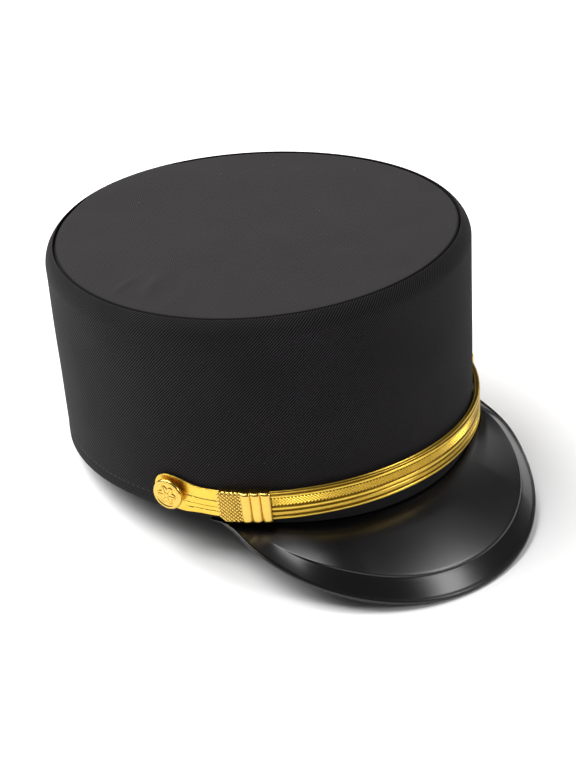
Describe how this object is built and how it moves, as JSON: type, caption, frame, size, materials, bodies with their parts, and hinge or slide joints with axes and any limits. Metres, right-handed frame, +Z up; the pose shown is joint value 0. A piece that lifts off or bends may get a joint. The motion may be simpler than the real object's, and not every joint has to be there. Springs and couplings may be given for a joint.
{
  "type": "drum-crowned uniform cap",
  "caption": "Stiff black drum-crowned uniform cap with a short glossy peak and a gilt chin strap on shank buttons.",
  "frame": {"origin": "on the surface the cap stands on, under the middle of its overall box", "axes": "+Z up, -Y towards the peak, +X towards the wearer's left side"},
  "size_m": [0.191, 0.26, 0.1282],
  "materials": {
    "cloth": "black woven twill over a stiff wall",
    "peak_plastic": "glossy black moulded plastic",
    "gilt_strap": "gilt, with moulded ribs and fine knurling",
    "gilt_metal": "bright gilt brass"
  },
  "bodies": {
    "root": {"crown_side": "cloth", "crown_top": "cloth", "peak": "peak_plastic", "strap_inner": "gilt_strap", "strap_outer": "gilt_strap", "slide_right": "gilt_metal", "slide_left": "gilt_metal", "button_right": "gilt_metal", "button_left": "gilt_metal"}
  },
  "joints": []
}
